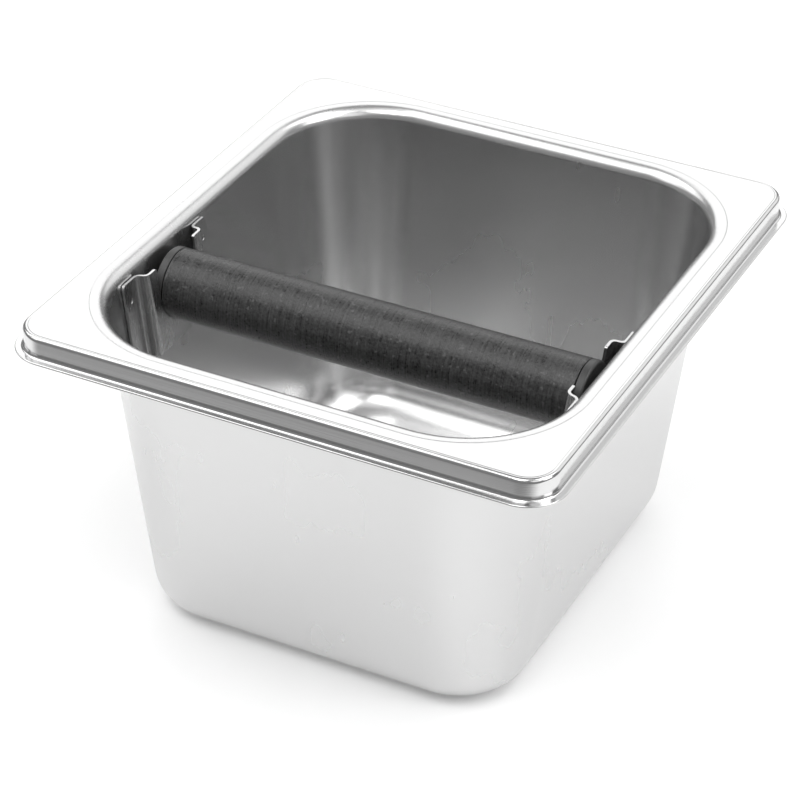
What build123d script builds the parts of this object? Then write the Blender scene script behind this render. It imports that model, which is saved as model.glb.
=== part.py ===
from build123d import *
from math import atan, cos, degrees
import os

# Espresso knock box: a deep-drawn sixth-size steel pan with a knock bar that drops into two wall brackets.
# Millimetres. +Z is up, the origin is under the middle of the pan on the surface it stands on,
# X runs along the knock bar and Y across it.

os.makedirs("parts", exist_ok=True)

# ---- pan: overall size and rim ----
rim_x = 162.0                 # outside of the rim along the bar
rim_y = 176.0                 # outside of the rim across the bar
pan_depth = 100.0             # floor underside to rim top
pan_sheet = 0.7               # steel thickness of the pan
rim_corner = 11.5             # outermost corner radius, seen from above
skirt_inset = 2.4             # rim edge in to the face of the turned-down skirt
skirt_drop = 7.0              # rim top down to the underside of the lip
skirt_top_radius = 1.2        # rim top to skirt
lip_bend_radius = 0.8         # inside of the bend between skirt and lip
lip_edge_radius = 0.3         # trimmed edge of the lip
mouth_roll_radius = 4.0       # rim top rolling down into the wall

# ---- pan: tapered body ----
wall_inset_x = 12.0           # rim edge in to the outer wall, measured at the rim's height
wall_inset_y = 11.3
wall_draft = 11.9             # how far each wall leans in from rim to floor
floor_corner = 20.6           # corner radius of the outer wall at floor level
base_radius = 11.8            # wall to floor, outside

# ---- knock bar ----
bar_radius = 10.15
bar_y = -24.3                 # bar axis, forward of the middle
bar_drop = 13.1               # rim top down to the bar axis
bar_wall_gap = 0.35           # bar end to the leaning pan wall, at the bar's lowest point
cap_thickness = 2.6
cap_edge_radius = 0.8         # outer edge of a cap
joint_edge_radius = 0.35      # small rounds that meet in the joint line between cap and sleeve
core_radius = 6.0
core_edge = 0.5               # chamfer on the core's ends
turn_clearance = 0.08         # sleeve bore around the core, radial
turn_end_gap = 0.2            # sleeve end to cap
screw_radius = 2.0            # M4 countersunk screw
screw_length = 12.0
screw_head_radius = 3.8
screw_head_sunk = 0.2         # head below the cap's face
screw_socket_across = 2.5     # hexagon socket across flats
screw_socket_depth = 1.4
thread_gap = 0.05
thread_runout = 2.0           # tapped hole beyond the screw's tip

# ---- brackets ----
bracket_sheet = 0.8
bracket_width = 45.0          # flange edge to flange edge
bracket_height = 25.5         # along the wall
bracket_drop = 29.3           # rim top down to the bracket's lower edge, at the wall
flange_bend = 14.9            # bar axis to the bend at the wall
web_bend = 14.4               # bar axis to the bend at the web
web_gap = 3.65                # wall to the back of the web
bend_radius = 1.25            # inside of each bend
flange_corner_radius = 1.2
slot_mouth_radius = 0.6
saddle_clearance = 0.15       # slot around the bar
weld_stand_off = 0.3          # flange to wall, bridged by the weld projections
weld_radius = 1.0
weld_dimple_radius = 0.8
weld_dimple_depth = 0.15
weld_height = 19.7            # along the bracket from its lower edge

# ---- worked out from the above ----
draft_slope = wall_draft / pan_depth
draft_angle = degrees(atan(draft_slope))
floor_x = rim_x - 2 * (wall_inset_x + wall_draft)
floor_y = rim_y - 2 * (wall_inset_y + wall_draft)
wall_thickness_level = pan_sheet / cos(atan(draft_slope))
lip_underside = pan_depth - skirt_drop
bar_z = pan_depth - bar_drop
bracket_base = pan_depth - bracket_drop
flange_flat_start = flange_bend + bend_radius + bracket_sheet
weld_from_axis = (flange_flat_start + bracket_width / 2) / 2
tiny = 0.01


def inner_wall_x(height):
    """Half the inside width of the pan along X at a height."""
    return floor_x / 2 + draft_slope * height - wall_thickness_level


def stays_within(edge, inset):
    """Whether an edge lies wholly at least a given distance in from the rim's outer edge."""
    box = edge.bounding_box()
    reach_x = max(abs(box.min.X), abs(box.max.X))
    reach_y = max(abs(box.min.Y), abs(box.max.Y))
    return reach_x < rim_x / 2 - inset + tiny and reach_y < rim_y / 2 - inset + tiny


def loop_at(edges, height, inset):
    """The edges at a height that stay within an inset from the rim's outer edge."""
    level = edges.filter_by_position(Axis.Z, height - tiny, height + tiny)
    return level.filter_by(lambda edge: stays_within(edge, inset))


def outline(inset, corner, mode=Mode.ADD):
    """A rounded rectangle a given distance in from the rim's outer edge."""
    return RectangleRounded(rim_x - 2 * inset, rim_y - 2 * inset, corner, mode=mode)


# ---- pan ----
hollow_inset = skirt_inset + pan_sheet
skirt_corner = rim_corner - skirt_inset
hollow_corner = skirt_corner - pan_sheet
cavity_shift = draft_slope * pan_sheet - wall_thickness_level
cavity_x = floor_x + 2 * cavity_shift
cavity_y = floor_y + 2 * cavity_shift
cavity_corner = floor_corner + cavity_shift

with BuildPart() as cavity:
    with BuildSketch(Plane.XY.offset(pan_sheet)):
        RectangleRounded(cavity_x, cavity_y, cavity_corner)
    extrude(amount=pan_depth - pan_sheet, taper=-draft_angle)
    fillet(cavity.edges().group_by(Axis.Z)[0], radius=base_radius - pan_sheet)

with BuildPart() as body_form:
    with BuildSketch(Plane.XY):
        RectangleRounded(floor_x, floor_y, floor_corner)
    extrude(amount=pan_depth, taper=-draft_angle)
    fillet(body_form.edges().group_by(Axis.Z)[0], radius=base_radius)

with BuildPart() as pan:
    with BuildSketch(Plane.XY.offset(lip_underside)):
        outline(skirt_inset, skirt_corner)
    extrude(amount=skirt_drop)
    fillet(pan.edges().group_by(Axis.Z)[-1], radius=skirt_top_radius)
    with BuildSketch(Plane.XY.offset(lip_underside)):
        outline(hollow_inset, hollow_corner)
    extrude(amount=skirt_drop - pan_sheet, mode=Mode.SUBTRACT)
    hollow_top = loop_at(pan.edges(), pan_depth - pan_sheet, hollow_inset)
    fillet(hollow_top, radius=skirt_top_radius - pan_sheet)
    with BuildSketch(Plane.XY.offset(lip_underside)):
        outline(0, rim_corner)
        outline(hollow_inset, hollow_corner, mode=Mode.SUBTRACT)
    extrude(amount=pan_sheet)
    skirt_foot = loop_at(pan.edges(), lip_underside + pan_sheet, skirt_inset)
    fillet(skirt_foot, radius=lip_bend_radius)
    lip_root = loop_at(pan.edges(), lip_underside, hollow_inset)
    fillet(lip_root, radius=lip_bend_radius + pan_sheet)
    lip_edges = pan.edges().filter_by_position(Axis.Z, lip_underside - tiny, lip_underside + pan_sheet + tiny)
    fillet(lip_edges.filter_by(lambda edge: not stays_within(edge, lip_edge_radius)), radius=lip_edge_radius)
    add(body_form.part)
    under_mouth = loop_at(pan.edges(), pan_depth - pan_sheet, min(wall_inset_x, wall_inset_y))
    fillet(under_mouth, radius=mouth_roll_radius - pan_sheet)
    add(cavity.part, mode=Mode.SUBTRACT)
    mouth = loop_at(pan.edges(), pan_depth, min(wall_inset_x, wall_inset_y))
    fillet(mouth, radius=mouth_roll_radius)

# ---- brackets ----
slot_radius = bar_radius + saddle_clearance
up_the_wall = Vector(-draft_slope, 0, 1)
off_the_wall = Vector(1, 0, draft_slope)
bracket_foot = Vector(-inner_wall_x(bracket_base), bar_y, bracket_base)
profile_plane = Plane(origin=bracket_foot, x_dir=(0, -1, 0), z_dir=up_the_wall)
wall_plane = Plane(origin=bracket_foot, x_dir=(0, 1, 0), z_dir=off_the_wall)
slot_plane = Plane(origin=(-rim_x / 2, bar_y, bar_z), x_dir=(0, 1, 0), z_dir=(1, 0, 0))
weld_places = [(side * weld_from_axis, weld_height) for side in (-1, 1)]

with BuildPart() as left_bracket:
    with BuildSketch(profile_plane):
        with BuildLine():
            FilletPolyline(
                (-bracket_width / 2, weld_stand_off),
                (-flange_bend, weld_stand_off),
                (-web_bend, web_gap),
                (web_bend, web_gap),
                (flange_bend, weld_stand_off),
                (bracket_width / 2, weld_stand_off),
                radius=[bend_radius + bracket_sheet, bend_radius, bend_radius, bend_radius + bracket_sheet],
            )
            offset(amount=bracket_sheet, side=Side.LEFT)
        make_face()
    extrude(amount=bracket_height)
    flange_corners = left_bracket.edges().filter_by(
        lambda edge: abs(abs(edge.center().Y - bar_y) - bracket_width / 2) < tiny
        and abs(edge.length - bracket_sheet) < tiny)
    fillet(flange_corners, radius=flange_corner_radius)
    with BuildSketch(slot_plane):
        Circle(slot_radius)
        with Locations((0, bracket_height / 2)):
            Rectangle(2 * slot_radius, bracket_height)
    extrude(amount=rim_x / 2, mode=Mode.SUBTRACT)
    mouth_corners = left_bracket.edges().filter_by(
        lambda edge: abs(abs(edge.center().Y - bar_y) - slot_radius) < tiny
        and edge.length < 2 * bracket_sheet)
    fillet(mouth_corners, radius=slot_mouth_radius)
    with BuildSketch(wall_plane):
        with Locations(*weld_places):
            Circle(weld_radius)
    extrude(amount=weld_stand_off)
    with BuildSketch(wall_plane.offset(weld_stand_off + bracket_sheet - weld_dimple_depth)):
        with Locations(*weld_places):
            Circle(weld_dimple_radius)
    extrude(amount=weld_dimple_depth, mode=Mode.SUBTRACT)

with BuildPart() as right_bracket:
    mirror(left_bracket.part, about=Plane.YZ)

# ---- knock bar ----
bar_end = inner_wall_x(bar_z - bar_radius) - bar_wall_gap
cap_face = bar_end - cap_thickness
sleeve_half = cap_face - turn_end_gap
across_bar = Plane(origin=(0, bar_y, bar_z), x_dir=(0, 1, 0), z_dir=(1, 0, 0))
along_bar = Plane(origin=(0, bar_y, bar_z), x_dir=(1, 0, 0), z_dir=(0, -1, 0))
bar_axis = Axis((0, bar_y, bar_z), (1, 0, 0))
head_depth = screw_head_radius - screw_radius
head_top = bar_end - screw_head_sunk

with BuildPart() as core_rod:
    with BuildSketch(across_bar):
        Circle(core_radius)
    extrude(amount=cap_face, both=True)
    chamfer(core_rod.edges().filter_by(GeomType.CIRCLE), length=core_edge)
    for side in (-1, 1):
        hole_bottom = head_top - screw_length - thread_runout
        with BuildSketch(across_bar.offset(side * hole_bottom)):
            Circle(screw_radius + thread_gap)
        extrude(amount=side * (cap_face - hole_bottom), mode=Mode.SUBTRACT)

with BuildPart() as rubber_sleeve:
    with BuildSketch(across_bar):
        Circle(bar_radius)
        Circle(core_radius + turn_clearance, mode=Mode.SUBTRACT)
    extrude(amount=sleeve_half, both=True)
    sleeve_circles = rubber_sleeve.edges().filter_by(GeomType.CIRCLE)
    fillet(sleeve_circles.filter_by(lambda edge: edge.radius > bar_radius - tiny), radius=joint_edge_radius)

with BuildPart() as right_end_cap:
    with BuildSketch(across_bar.offset(cap_face)):
        Circle(bar_radius)
    extrude(amount=cap_thickness)
    fillet(right_end_cap.edges().group_by(Axis.X)[-1], radius=cap_edge_radius)
    fillet(right_end_cap.edges().group_by(Axis.X)[0], radius=joint_edge_radius)
    with BuildSketch(along_bar):
        with BuildLine():
            Polyline(
                (cap_face, 0),
                (cap_face, screw_radius + thread_gap),
                (head_top - head_depth, screw_radius + thread_gap),
                (head_top, screw_head_radius + thread_gap),
                (bar_end, screw_head_radius + thread_gap),
                (bar_end, 0),
                close=True,
            )
        make_face()
    revolve(axis=bar_axis, mode=Mode.SUBTRACT)

with BuildPart() as right_end_screw:
    with BuildSketch(along_bar):
        with BuildLine():
            Polyline(
                (head_top - screw_length, 0),
                (head_top - screw_length, screw_radius),
                (head_top - head_depth, screw_radius),
                (head_top, screw_head_radius),
                (head_top, 0),
                close=True,
            )
        make_face()
    revolve(axis=bar_axis)
    with BuildSketch(across_bar.offset(head_top - screw_socket_depth)):
        RegularPolygon(radius=screw_socket_across / 2, side_count=6, major_radius=False)
    extrude(amount=screw_socket_depth, mode=Mode.SUBTRACT)

with BuildPart() as left_end_cap:
    mirror(right_end_cap.part, about=Plane.YZ)

with BuildPart() as left_end_screw:
    mirror(right_end_screw.part, about=Plane.YZ)

# ---- export ----
pieces = {
    "pan": pan,
    "left_bracket": left_bracket,
    "right_bracket": right_bracket,
    "core_rod": core_rod,
    "rubber_sleeve": rubber_sleeve,
    "left_end_cap": left_end_cap,
    "right_end_cap": right_end_cap,
    "left_end_screw": left_end_screw,
    "right_end_screw": right_end_screw,
}
for name, piece in pieces.items():
    piece.part.label = name
    export_step(piece.part, f"parts/{name}.step")
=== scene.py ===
"""Studio scene of an espresso knock box: a satin steel pan, and a rubber-sleeved bar over it.

Metres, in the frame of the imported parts: +Z is up, X runs along the bar, and the pan stands on
z = 0. The sizes of the pan's section are in millimetres.
"""
import math

import bmesh
import bpy
from mathutils import Matrix, Vector


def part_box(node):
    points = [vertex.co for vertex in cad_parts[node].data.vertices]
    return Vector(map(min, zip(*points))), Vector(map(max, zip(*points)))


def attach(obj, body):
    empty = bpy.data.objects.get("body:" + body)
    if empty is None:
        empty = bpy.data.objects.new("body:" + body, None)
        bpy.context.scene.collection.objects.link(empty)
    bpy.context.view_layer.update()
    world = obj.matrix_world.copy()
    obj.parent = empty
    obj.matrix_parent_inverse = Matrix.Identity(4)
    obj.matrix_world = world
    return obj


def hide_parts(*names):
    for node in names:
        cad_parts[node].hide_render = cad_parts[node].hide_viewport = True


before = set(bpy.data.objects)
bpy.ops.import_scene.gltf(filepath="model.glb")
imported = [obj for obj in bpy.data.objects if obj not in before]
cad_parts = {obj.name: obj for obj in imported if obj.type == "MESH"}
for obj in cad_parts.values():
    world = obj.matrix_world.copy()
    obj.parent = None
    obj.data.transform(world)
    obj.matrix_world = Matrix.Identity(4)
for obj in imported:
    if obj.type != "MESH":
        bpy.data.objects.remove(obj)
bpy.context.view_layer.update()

scene = bpy.context.scene
mm = 0.001
arc_step = math.radians(9.0)


# ---- nodes ----
class Wire:
    """What comes out of a node. Arithmetic on it adds Math nodes to its tree."""

    def __init__(self, tree, socket):
        self.tree = tree
        self.socket = socket

    def other(self, output):
        """Another output of the same node."""
        return Wire(self.tree, self.socket.node.outputs[output])

    def put_in(self, operation, *values):
        """A Math node whose first input is this one."""
        return self.tree.math(operation, self, *values)

    def __add__(self, value):
        return self.tree.math("ADD", self, value)

    def __radd__(self, value):
        return self.tree.math("ADD", value, self)

    def __sub__(self, value):
        return self.tree.math("SUBTRACT", self, value)

    def __rsub__(self, value):
        return self.tree.math("SUBTRACT", value, self)

    def __mul__(self, value):
        return self.tree.math("MULTIPLY", self, value)

    def __rmul__(self, value):
        return self.tree.math("MULTIPLY", value, self)

    def __truediv__(self, value):
        return self.tree.math("DIVIDE", self, value)

    def __rtruediv__(self, value):
        return self.tree.math("DIVIDE", value, self)


class Tree:
    """A shader or geometry tree that nodes are added to."""

    def __init__(self, nodes):
        self.nodes = nodes

    def node(self, kind, settings=None, sockets=None, output=0):
        """Adds a node of a type: its settings first, then the values or links of its sockets."""
        made = self.nodes.nodes.new(kind)
        for name, value in (settings or {}).items():
            setattr(made, name, value)
        for name, value in (sockets or {}).items():
            if isinstance(value, Wire):
                self.nodes.links.new(value.socket, made.inputs[name])
            else:
                made.inputs[name].default_value = value
        return Wire(self, made.outputs[output]) if made.outputs else made

    def math(self, operation, *values):
        return self.node("ShaderNodeMath", {"operation": operation}, dict(enumerate(values)))


class Finish(Tree):
    """A material and the patterns that its finish is made from."""

    def __init__(self, name):
        self.material = bpy.data.materials.new(name)
        self.material.use_nodes = True
        self.material.node_tree.nodes.clear()
        super().__init__(self.material.node_tree)
        self.place = self.node("ShaderNodeTexCoord", output="Object")
        self.x = self.node("ShaderNodeSeparateXYZ", {}, {0: self.place})
        self.y = self.x.other(1)
        self.z = self.x.other(2)

    def at(self, x, y, z):
        return self.node("ShaderNodeCombineXYZ", {}, {0: x, 1: y, 2: z})

    def noise(self, place, scale, detail=2.0, rough=0.5):
        """A noise about 0 with a swing of about 1."""
        sockets = {"Vector": place, "Scale": scale, "Detail": detail, "Roughness": rough}
        return (self.node("ShaderNodeTexNoise", {}, sockets) - 0.5) * 2.0

    def band(self, value, low, high):
        """0 below the low value, 1 above the high one, smooth between."""
        settings = {"interpolation_type": "SMOOTHSTEP"}
        sockets = {"Value": value, "From Min": low, "From Max": high}
        return self.node("ShaderNodeMapRange", settings, sockets)

    def attribute(self, name):
        return self.node("ShaderNodeAttribute", {"attribute_name": name}, output="Fac")

    def scratches(self, scale, reach, width):
        """1 on sparse short hairline scratches, 0 elsewhere."""
        wander = {"Vector": self.place, "Scale": scale * 0.4}
        bent = self.node("ShaderNodeTexNoise", {}, wander, output="Color")
        shift = {0: bent, 1: (reach,) * 3, 2: self.place}
        place = self.node("ShaderNodeVectorMath", {"operation": "MULTIPLY_ADD"}, shift)
        edges = {"feature": "DISTANCE_TO_EDGE"}
        cells = self.node("ShaderNodeTexVoronoi", edges, {"Vector": place, "Scale": scale})
        kept = self.band(self.noise(self.place, scale * 1.7), 0.15, 0.4)
        return (1.0 - self.band(cells, 0.0, width)) * kept

    def mix(self, amount, low, high):
        settings = {"data_type": "RGBA"}
        return self.node("ShaderNodeMix", settings, {0: amount, 6: low, 7: high}, output=2)

    def bump(self, height, distance):
        return self.node("ShaderNodeBump", {}, {"Height": height, "Distance": distance})

    def surface(self, sockets):
        shader = self.node("ShaderNodeBsdfPrincipled", {}, sockets)
        self.node("ShaderNodeOutputMaterial", {}, {"Surface": shader})
        return self.material


def grey(level):
    return (level, level, level, 1.0)


# ---- finishes ----
def pan_finish():
    """Satin rolled stainless: cloudy polish, lines round the rim, faint marks up the walls."""
    steel = Finish("pan_satin_steel")
    run = steel.attribute("run")
    wall = steel.attribute("belly")
    cloud = steel.noise(steel.place, 24.0, 3.0)
    drawn = steel.noise(steel.at(steel.x * 18.0, steel.y * 18.0, run * 5200.0), 1.0, 3.0, 0.6)
    upright = steel.noise(steel.at(steel.x * 260.0, steel.y * 260.0, steel.z * 9.0), 1.0, 1.0)
    rim_lines = drawn * (1.0 - wall)
    lines = rim_lines + upright * wall * 0.15
    tone = cloud * 0.06 + lines * 0.12 + 0.5
    colour = steel.mix(tone, grey(0.57), grey(0.71))
    roughness = 0.14 + wall * 0.13 + cloud * 0.02 + lines * 0.02
    return steel.surface({
        "Base Color": colour,
        "Metallic": 1.0,
        "Roughness": roughness,
        "Normal": steel.bump(rim_lines, 0.0000055),
    })


def strip_finish(name, level, roughness):
    """Cold-rolled strip: a fine even grain along the strip and a few faint handling marks."""
    steel = Finish(name)
    cloud = steel.noise(steel.place, 70.0, 3.0)
    lines = steel.noise(steel.at(steel.x * 2400.0, steel.y * 2400.0, steel.z * 120.0), 1.0, 2.0)
    grain = steel.noise(steel.place, 3600.0)
    scratch = steel.scratches(scale=220.0, reach=0.004, width=0.008)
    tone = cloud * 0.12 + lines * 0.10 + grain * 0.10 + scratch * 0.12 + 0.5
    return steel.surface({
        "Base Color": steel.mix(tone, grey(level * 0.85), grey(level * 1.15)),
        "Metallic": 1.0,
        "Roughness": roughness + cloud * 0.04 + lines * 0.03 + scratch * 0.04,
        "Normal": steel.bump(lines * 0.4 + grain * 0.3, 0.000005),
    })


def rubber_finish():
    """Black rubber with fine turned rings, pale specks of dust and a satin bloom."""
    rubber = Finish("sleeve_black_rubber")
    turned = rubber.at(rubber.x * 2300.0, rubber.y * 60.0, rubber.z * 60.0)
    rings = rubber.noise(turned, 1.0, 3.0, 0.7)
    cloud = rubber.noise(rubber.place, 60.0, 3.0)
    grain = rubber.noise(rubber.place, 1300.0, 3.0, 0.7)
    speck = rubber.band(rubber.noise(rubber.place, 700.0, 1.0), 0.3, 0.55)
    tone = cloud * 0.2 + rings * 0.7 + grain * 0.8 + speck * 1.2 + 0.3
    return rubber.surface({
        "Base Color": rubber.mix(tone, grey(0.004), grey(0.07)),
        "Roughness": 0.33 + rings * 0.14 + cloud * 0.04 + grain * 0.16 + speck * 0.1,
        "Normal": rubber.bump(rings * 0.6 + grain * 0.4, 0.00012),
    })


def plastic_finish():
    """Black moulded nylon with a fine spark-eroded grain."""
    plastic = Finish("cap_black_nylon")
    cloud = plastic.noise(plastic.place, 120.0, 3.0)
    grain = plastic.noise(plastic.place, 3200.0, 3.0)
    tone = cloud * 0.2 + grain * 0.25 + 0.5
    return plastic.surface({
        "Base Color": plastic.mix(tone, grey(0.016), grey(0.045)),
        "Roughness": 0.4 + cloud * 0.05 + grain * 0.05,
        "Normal": plastic.bump(grain, 0.00002),
    })


def floor_finish():
    """Matt white paper with a faint painted glow that lifts its shadows, and painted shade: a
    darker grey stretch without glow well in front of the pan.
    """
    paper = Finish("studio_paper")
    painted_shade_until, painted_shade_gone_from = -0.26, -0.15
    # painted shade: towards the front, the floor turns from white to dark grey and loses its glow,
    # standing in for light that falls off there
    sheet = paper.band(paper.y, painted_shade_until, painted_shade_gone_from)
    return paper.surface({
        "Base Color": paper.mix(sheet, grey(0.2), grey(0.9)),
        "Roughness": 0.9,
        # painted glow: the white part of the floor emits a little light of its own, which lightens
        # its shadows
        "Emission Color": paper.mix(sheet, grey(0.0), grey(1.0)),
        "Emission Strength": 0.12,
    })


# ---- mesh helpers ----
def link(name, mesh, material=None):
    """An object at the origin that shows a mesh."""
    piece = bpy.data.objects.new(name, mesh)
    scene.collection.objects.link(piece)
    if material:
        mesh.materials.clear()
        mesh.materials.append(material)
    return piece


def finished(piece, group, inputs):
    """Runs a geometry tree with its named inputs on an object, and keeps a plain mesh of it."""
    modifier = piece.modifiers.new(group.name, "NODES")
    modifier.node_group = group
    for item in group.interface.items_tree:
        if item.item_type == "SOCKET" and item.in_out == "INPUT" and item.name in inputs:
            modifier[item.identifier] = inputs[item.name]
    bpy.context.view_layer.update()
    made = piece.evaluated_get(bpy.context.evaluated_depsgraph_get())
    plain = bpy.data.meshes.new_from_object(made)
    piece.modifiers.clear()
    piece.data = plain
    return piece


def rounded_path(corners):
    """Points along a path of (across, up, radius) corners, with each corner made an arc."""
    points = [Vector(corners[0][:2])]
    for before, corner, after in zip(corners, corners[1:], corners[2:]):
        here = Vector(corner[:2])
        radius = corner[2]
        inward = (Vector(before[:2]) - here).normalized()
        outward = (Vector(after[:2]) - here).normalized()
        opening = inward.angle(outward)
        reach = radius / math.tan(opening / 2)
        middle = here + (inward + outward).normalized() * radius / math.sin(opening / 2)
        start = here + inward * reach
        turn = math.pi - opening
        steps = max(2, math.ceil(turn / arc_step))
        side = 1 if (here - start).cross(middle - start) > 0 else -1
        for step in range(steps + 1):
            swing = Matrix.Rotation(side * turn * step / steps, 2)
            points.append(middle + (swing @ (start - middle)))
    points.append(Vector(corners[-1][:2]))
    return points


# ---- pan ----
rim_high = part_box("pan")[1]
pan_depth = rim_high.z / mm
rim_half_x = rim_high.x / mm
rim_half_y = rim_high.y / mm
sheet = 0.7
rim_corner = 11.5
skirt_inset = 2.4
skirt_drop = 7.0
throat_round = 0.5            # the skirt's own bends: under the rim, at its foot and on its top
foot_inner_round = 1.5
lip_round = 0.3
foot_outer_round = 0.8
rim_round = 1.2
wall_inset = 12.0
wall_lean = 11.9
wall_step = math.hypot(1.0, wall_lean / pan_depth) * sheet    # the sheet, measured level
base_radius = 11.8
mouth_radius = 4.0
corner_growth = 33.0          # what a wall corner's radius has over the rim's, at the same inset
length_shift = 0.7            # how much less the wall is inset along the pan's length
flat_edge = 4.2               # where the rim's outline starts to give way to the wall's own
flat_end = 7.8                # and where it has
shrunk_within = 36.5          # nearer the middle than this, the floor's outline shrinks to a point
crease_width = 0.16
crease_depth = 0.05
crease_round = 0.05
crease_insets = (3.9, 8.1)    # outer and inner edge of the rim's flat
least_step = 0.004            # points of the section closer than this are one
level_within = 0.001          # a piece of the section that rises by less is level
weld_reach = 0.002 * mm       # points of the mesh closer than this are one


def outer_wall(height):
    """How far in from the rim's edge the outer wall is, at a height."""
    return wall_inset + wall_lean * (1.0 - height / pan_depth)


def creased(inset):
    """A fine coined line in the rim's flat top, as corners of the section."""
    return [
        (inset + crease_width, pan_depth, crease_round),
        (inset, pan_depth - crease_depth, crease_round),
        (inset - crease_width, pan_depth, crease_round),
    ]


def pan_section():
    """The section: from the middle of the underside, round the rim, to the middle of the floor."""
    lip = pan_depth - skirt_drop
    outside = [
        (rim_half_x, 0.0, 0.0),
        (outer_wall(0.0), 0.0, base_radius),
        (outer_wall(pan_depth - sheet), pan_depth - sheet, mouth_radius - sheet),
        (skirt_inset + sheet, pan_depth - sheet, throat_round),
        (skirt_inset + sheet, lip, foot_inner_round),
        (0.0, lip, lip_round),
        (0.0, lip + sheet, lip_round),
        (skirt_inset, lip + sheet, foot_outer_round),
        (skirt_inset, pan_depth, rim_round),
    ]
    top = [corner for inset in crease_insets for corner in reversed(creased(inset))]
    inside = [
        (outer_wall(pan_depth) + wall_step, pan_depth, mouth_radius),
        (outer_wall(sheet) + wall_step, sheet, base_radius - sheet),
        (rim_half_x, sheet, 0.0),
    ]
    return rounded_path(outside + top + inside)


def sweep_tree():
    """Sweeps a section round rounded rectangles that change size and corner with its inset."""
    group = bpy.data.node_groups.new("swept_pan", "GeometryNodeTree")
    tree = Tree(group)
    face = group.interface
    face.new_socket("Geometry", in_out="INPUT", socket_type="NodeSocketGeometry")
    sizes = {
        "Half Width": "NodeSocketFloat",
        "Half Length": "NodeSocketFloat",
        "Rim Corner": "NodeSocketFloat",
        "Belly Corner": "NodeSocketFloat",
        "Belly Shift": "NodeSocketFloat",
        "Ripple": "NodeSocketFloat",
        "Ripple Scale": "NodeSocketFloat",
        "Corner Steps": "NodeSocketInt",
        "Side Steps": "NodeSocketInt",
        "Seed": "NodeSocketFloat",
        "Finish": "NodeSocketMaterial",
    }
    for name, kind in sizes.items():
        face.new_socket(name, in_out="INPUT", socket_type=kind)
    face.new_socket("Geometry", in_out="OUTPUT", socket_type="NodeSocketGeometry")
    section = tree.node("NodeGroupInput", output="Geometry")
    size = section.other
    quarter_steps = size("Corner Steps") + size("Side Steps")
    columns = quarter_steps * 4.0
    count = {"component": "MESH"}
    rows = tree.node("GeometryNodeAttributeDomainSize", count, {"Geometry": section})
    cells = {"Vertices X": rows, "Vertices Y": columns + 1.0}
    grid = tree.node("GeometryNodeMeshGrid", {}, cells)
    index = tree.node("GeometryNodeInputIndex")
    row = ((index + 0.5) / (columns + 1.0)).put_in("FLOOR")
    column = index - row * (columns + 1.0)

    def sampled(kind, value):
        sockets = {"Geometry": section, "Value": value, "Index": row}
        return tree.node("GeometryNodeSampleIndex", {"data_type": kind}, sockets)

    def named(name):
        return tree.node("GeometryNodeInputNamedAttribute", {"data_type": "FLOAT"}, {"Name": name})

    drawn = sampled("FLOAT_VECTOR", tree.node("GeometryNodeInputPosition"))
    spot = tree.node("ShaderNodeSeparateXYZ", {}, {0: drawn})
    belly = sampled("FLOAT", named("belly"))
    run = sampled("FLOAT", named("run"))
    closing = sampled("FLOAT", named("closing"))

    quarter = ((column + 0.5) / quarter_steps).put_in("FLOOR")
    step = column - quarter * quarter_steps
    turn = (step / size("Corner Steps")).put_in("MINIMUM", 1.0)
    slide = ((step - size("Corner Steps")) / size("Side Steps")).put_in("MAXIMUM", 0.0)
    angle = (quarter + turn) * (math.pi / 2)
    corner_now = quarter * (math.pi / 2) + math.pi / 4
    corner_next = corner_now + math.pi / 2

    def between(function):
        """Which side of the pan a point is on, from -1 to 1, from one corner to the next."""
        now = corner_now.put_in(function) * math.sqrt(2.0)
        coming = corner_next.put_in(function) * math.sqrt(2.0)
        return now * (1.0 - slide) + coming * slide

    side_x = between("COSINE")
    side_y = between("SINE")
    rough_place = tree.node("ShaderNodeCombineXYZ", {}, {
        0: side_x * size("Half Width") + size("Seed"),
        1: side_y * size("Half Length"),
        2: spot.other(2),
    })
    waves = {"Vector": rough_place, "Scale": size("Ripple Scale"), "Detail": 1.0}
    wave = tree.node("ShaderNodeTexNoise", {}, waves)
    inset = spot + (wave - 0.5) * size("Ripple") * belly
    radius = (size("Rim Corner") - inset + belly * size("Belly Corner")).put_in("MAXIMUM", 0.0)
    half_x = size("Half Width") - inset
    half_y = size("Half Length") - inset + belly * size("Belly Shift")
    x = side_x * (half_x - radius) + angle.put_in("COSINE") * radius
    y = side_y * (half_y - radius) + angle.put_in("SINE") * radius
    ends = {0: x * closing, 1: y * closing, 2: spot.other(2)}
    place = tree.node("ShaderNodeCombineXYZ", {}, ends)
    shaped = tree.node("GeometryNodeSetPosition", {}, {"Geometry": grid, "Position": place})
    for name, value in (("run", run), ("belly", belly)):
        settings = {"data_type": "FLOAT", "domain": "POINT"}
        sockets = {"Geometry": shaped, "Name": name, "Value": value}
        shaped = tree.node("GeometryNodeStoreNamedAttribute", settings, sockets)
    near = {"Geometry": shaped, "Distance": weld_reach}
    welded = tree.node("GeometryNodeMergeByDistance", {}, near)
    smooth = tree.node("GeometryNodeSetShadeSmooth", {}, {"Geometry": welded})
    real = tree.node("GeometryNodeRealizeInstances", {}, {"Geometry": smooth})
    coat = {"Geometry": real, "Material": size("Finish")}
    dressed = tree.node("GeometryNodeSetMaterial", {}, coat)
    tree.node("NodeGroupOutput", {}, {"Geometry": dressed})
    return group


def section_points():
    """The section's points, without doubles, and with the flat floor cut into steps."""
    points = []
    for point in pan_section():
        if not points or (point - points[-1]).length > least_step:
            points.append(point)
    laid = []
    for before, point in zip([points[0]] + points, points):
        level = abs(before.y - point.y) < level_within
        if level and max(before.x, point.x) > outer_wall(0.0) and before.x != point.x:
            inner, outer = sorted((before.x, point.x))
            marks = [outer - (outer - inner) * share for share in (0.8, 0.6, 0.4, 0.2)]
            marks = marks if point.x > before.x else marks[::-1]
            laid += [Vector((mark, point.y)) for mark in marks]
        laid.append(point)
    return laid


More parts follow.
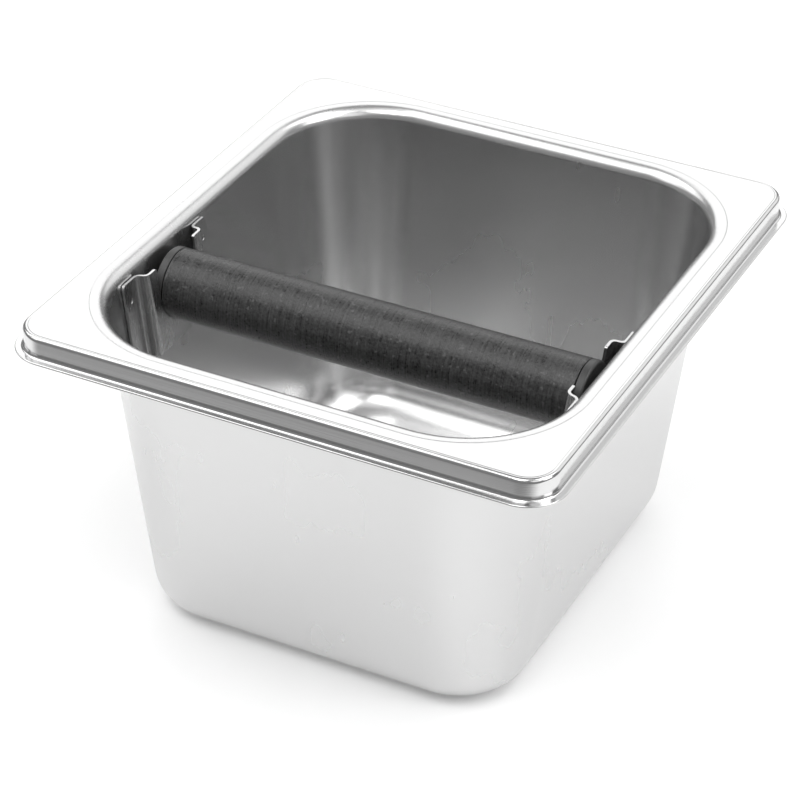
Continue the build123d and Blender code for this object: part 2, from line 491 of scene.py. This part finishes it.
def make_pan(material):
    """The deep-drawn pan: its section swept round, with the slight unevenness of pressed sheet.

    The section carries how much of the wall's own outline a point has ("belly"), how far along
    the section it is ("run"), and how far the outline there is drawn in to its middle ("closing").
    """
    mesh = bpy.data.meshes.new("pan_section")
    values = {"belly": [], "run": [], "closing": []}
    places = []
    run = 0.0
    laid = section_points()
    corner_gone = rim_half_x - shrunk_within
    for before, point in zip([laid[0]] + laid, laid):
        run += (point - before).length
        inset = min(point.x, corner_gone)
        places.append((inset * mm, 0.0, point.y * mm))
        share = max(0.0, min(1.0, (point.x - flat_edge) / (flat_end - flat_edge)))
        values["belly"].append(share * share * (3.0 - 2.0 * share))
        values["run"].append(run * mm)
        left = rim_half_x - point.x
        values["closing"].append(min(1.0, left / (rim_half_x - corner_gone)))
    mesh.from_pydata(places, [(i, i + 1) for i in range(len(places) - 1)], [])
    for name, numbers in values.items():
        mesh.attributes.new(name, "FLOAT", "POINT").data.foreach_set("value", numbers)
    pan = link("steel_pan", mesh)
    finished(pan, sweep_tree(), {
        "Half Width": rim_half_x * mm,
        "Half Length": rim_half_y * mm,
        "Rim Corner": rim_corner * mm,
        "Belly Corner": corner_growth * mm,
        "Belly Shift": length_shift * mm,
        "Ripple": 0.12 * mm,
        "Ripple Scale": 26.0,
        "Corner Steps": 20,
        "Side Steps": 14,
        "Seed": 3.0,
        "Finish": material,
    })
    return pan


def outward(piece):
    """Turns a closed mesh's faces to point outwards."""
    work = bmesh.new()
    work.from_mesh(piece.data)
    bmesh.ops.recalc_face_normals(work, faces=work.faces)
    work.to_mesh(piece.data)
    work.free()


# ---- pieces ----
pan_steel = pan_finish()
bracket_steel = strip_finish("bracket_rolled_strip", 0.62, 0.26)
pan = make_pan(pan_steel)
outward(pan)
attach(pan, "pan")
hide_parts("pan")

dressed = {
    "left_bracket": bracket_steel,
    "right_bracket": bracket_steel,
    "core_rod": strip_finish("core_drawn_steel", 0.6, 0.3),
    "rubber_sleeve": rubber_finish(),
    "left_end_cap": plastic_finish(),
    "left_end_screw": strip_finish("screw_stainless", 0.66, 0.22),
}
dressed["right_end_cap"] = dressed["left_end_cap"]
dressed["right_end_screw"] = dressed["left_end_screw"]
for node, material in dressed.items():
    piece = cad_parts[node]
    piece.data.materials.clear()
    piece.data.materials.append(material)

# ---- studio ----
floor_mesh = bpy.data.meshes.new("studio_floor")
edge = 3.0
floor_corners = [(-edge, -edge, 0), (edge, -edge, 0), (edge, edge, 0), (-edge, edge, 0)]
floor_mesh.from_pydata(floor_corners, [], [(0, 1, 2, 3)])
floor = link("studio_floor", floor_mesh, floor_finish())

lamp_distance = 1.4


def softbox(name, azimuth, elevation, brightness, width=0.6):
    """A square soft light that faces the pan: azimuth 0 is in front, 90 right and 180 behind."""
    around, above = math.radians(azimuth), math.radians(elevation)
    flat = math.cos(above)
    towards = Vector((math.sin(around) * flat, -math.cos(around) * flat, math.sin(above)))
    place = towards * lamp_distance
    lamp = bpy.data.lights.new(name, "AREA")
    lamp.shape = "SQUARE"
    lamp.size = width
    lamp.energy = math.pi * width * width * brightness
    holder = bpy.data.objects.new(name, lamp)
    holder.location = place
    holder.rotation_mode = "QUATERNION"
    holder.rotation_quaternion = (-place).to_track_quat("-Z", "Y")
    holder.visible_camera = False
    scene.collection.objects.link(holder)


softbox("top", 0, 80, 0.6, 0.7)
softbox("high_front", 0, 60, 4.0)
softbox("high_right", 90, 60, 2.8)
softbox("high_left", 270, 60, 2.4)
softbox("high_back_right", 135, 60, 2.3)
softbox("high_front_left", 315, 60, 1.5)
softbox("right", 90, 40, 3.3)
softbox("left", 270, 40, 1.45)
softbox("front_right", 54, 40, 1.0)
softbox("front_left", 306, 40, 1.5)
softbox("back_left", 210, 34, 1.35, 1.0)
softbox("back_right", 154, 33, 0.9, 0.9)

world = bpy.data.worlds.new("studio_room")
world.use_nodes = True
world.node_tree.nodes["Background"].inputs["Color"].default_value = grey(1.0)
world.node_tree.nodes["Background"].inputs["Strength"].default_value = 0.3
scene.world = world
scene.view_settings.view_transform = "Standard"

# ---- camera ----
turn, tilt, roll = (math.radians(angle) for angle in (26.44, 33.41, 0.64))
aim = Vector((0.02892, -0.06712, 0.1))
camera_distance = 0.74494
away = Vector((math.sin(turn) * math.cos(tilt), -math.cos(turn) * math.cos(tilt), math.sin(tilt)))
level = Vector((math.cos(turn), math.sin(turn), 0.0))
upright = away.cross(level)
right = level * math.cos(roll) + upright * math.sin(roll)
up = upright * math.cos(roll) - level * math.sin(roll)
lens = bpy.data.cameras.new("camera")
lens.lens = 130.19
lens.sensor_width = 36.0
camera = bpy.data.objects.new("camera", lens)
camera.matrix_world = Matrix((right, up, away)).transposed().to_4x4()
camera.location = aim + away * camera_distance
scene.collection.objects.link(camera)
scene.camera = camera
